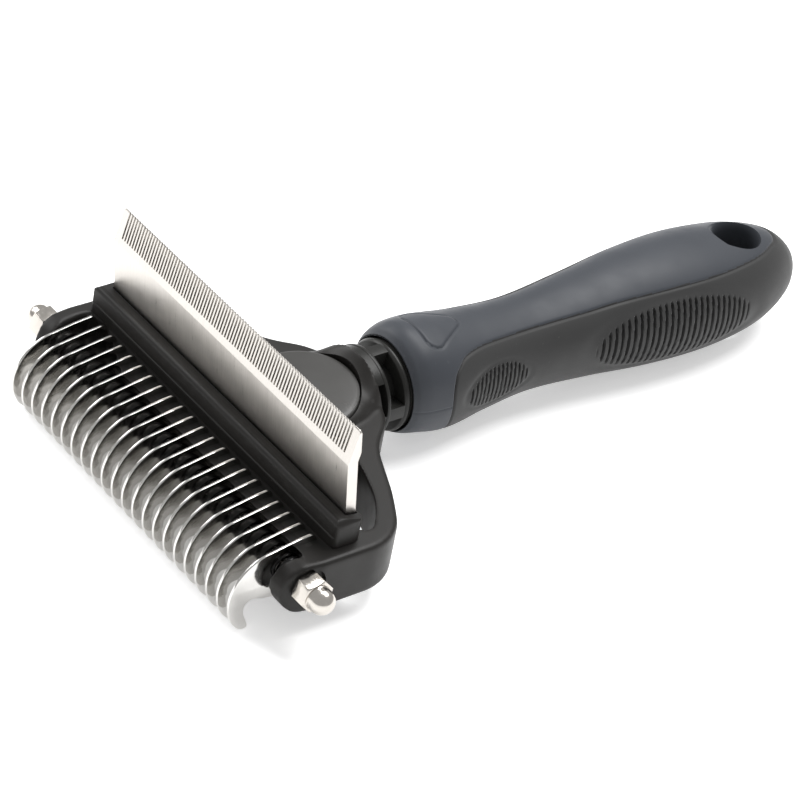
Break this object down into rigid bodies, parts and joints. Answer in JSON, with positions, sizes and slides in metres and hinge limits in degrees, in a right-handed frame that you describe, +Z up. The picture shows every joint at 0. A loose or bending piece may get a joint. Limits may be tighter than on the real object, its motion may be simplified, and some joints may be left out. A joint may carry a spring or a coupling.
{
  "type": "undercoat rake",
  "caption": "Two-in-one pet grooming rake: a row of hooked steel blades on a rod, a toothed deshedding comb, and a soft-grip handle on a flexible neck.",
  "frame": {"origin": "on the surface that the tool lies on, halfway along its length and its width", "axes": "+X along the head towards the right-hand cap nut, +Y along the handle to its hanging end, +Z up, with the comb's teeth on top and the rake's hooks below"},
  "size_m": [0.1312, 0.2192, 0.0527],
  "materials": {
    "black_plastic": "satin moulded",
    "cover_plastic": "semi-gloss",
    "slate_plastic": "satin moulded",
    "grip_rubber": "matte soft-touch",
    "neck_plastic": "satin",
    "spacer_plastic": "glossy",
    "brushed_steel": "brushed along the teeth",
    "polished_steel": "mirror-polished stainless sheet",
    "nickel": "bright nickel plate"
  },
  "bodies": {
    "handle": {"handle_upper_shell": "slate_plastic", "handle_lower_shell": "slate_plastic", "handle_grip": "grip_rubber", "neck_socket": "neck_plastic", "neck_flex_rear": "neck_plastic"},
    "neck_link": {"neck_mid_ring": "neck_plastic", "neck_flex_front": "neck_plastic"},
    "head": {"head_frame": "black_plastic", "comb_holder": "black_plastic", "deshedding_comb": "brushed_steel", "hub_cover": "cover_plastic", "rake_rod": "nickel", "cap_nut_left": "nickel", "cap_nut_right": "nickel", "end_spacer_left": "spacer_plastic", "end_spacer_right": "spacer_plastic", "rake_blade_01": "polished_steel", "rake_blade_02": "polished_steel", "rake_blade_03": "polished_steel", "rake_blade_04": "polished_steel", "rake_blade_05": "polished_steel", "rake_blade_06": "polished_steel", "rake_blade_07": "polished_steel", "rake_blade_08": "polished_steel", "rake_blade_09": "polished_steel", "rake_blade_10": "polished_steel", "rake_blade_11": "polished_steel", "rake_blade_12": "polished_steel", "rake_blade_13": "polished_steel", "rake_blade_14": "polished_steel", "rake_blade_15": "polished_steel", "rake_blade_16": "polished_steel", "rake_blade_17": "polished_steel", "rake_blade_18": "polished_steel", "rake_blade_19": "polished_steel", "rake_blade_20": "polished_steel", "rake_blade_21": "polished_steel", "rake_blade_22": "polished_steel", "rake_spacer_01": "spacer_plastic", "rake_spacer_02": "spacer_plastic", "rake_spacer_03": "spacer_plastic", "rake_spacer_04": "spacer_plastic", "rake_spacer_05": "spacer_plastic", "rake_spacer_06": "spacer_plastic", "rake_spacer_07": "spacer_plastic", "rake_spacer_08": "spacer_plastic", "rake_spacer_09": "spacer_plastic", "rake_spacer_10": "spacer_plastic", "rake_spacer_11": "spacer_plastic", "rake_spacer_12": "spacer_plastic", "rake_spacer_13": "spacer_plastic", "rake_spacer_14": "spacer_plastic", "rake_spacer_15": "spacer_plastic", "rake_spacer_16": "spacer_plastic", "rake_spacer_17": "spacer_plastic", "rake_spacer_18": "spacer_plastic", "rake_spacer_19": "spacer_plastic", "rake_spacer_20": "spacer_plastic", "rake_spacer_21": "spacer_plastic"}
  },
  "joints": [
    {"name": "neck_pitch", "type": "hinge", "parent": "handle", "child": "neck_link", "pos_m": [0, -0.03456, 0.0164], "axis": [1, 0, 0], "range_deg": [-6, 6], "stiffness_Nm_per_rad": 5, "deforming": ["neck_flex_rear"]},
    {"name": "neck_yaw", "type": "hinge", "parent": "neck_link", "child": "head", "pos_m": [0, -0.03861, 0.0164], "axis": [0, 0, 1], "range_deg": [-6, 6], "stiffness_Nm_per_rad": 5, "deforming": ["neck_flex_front"]}
  ]
}
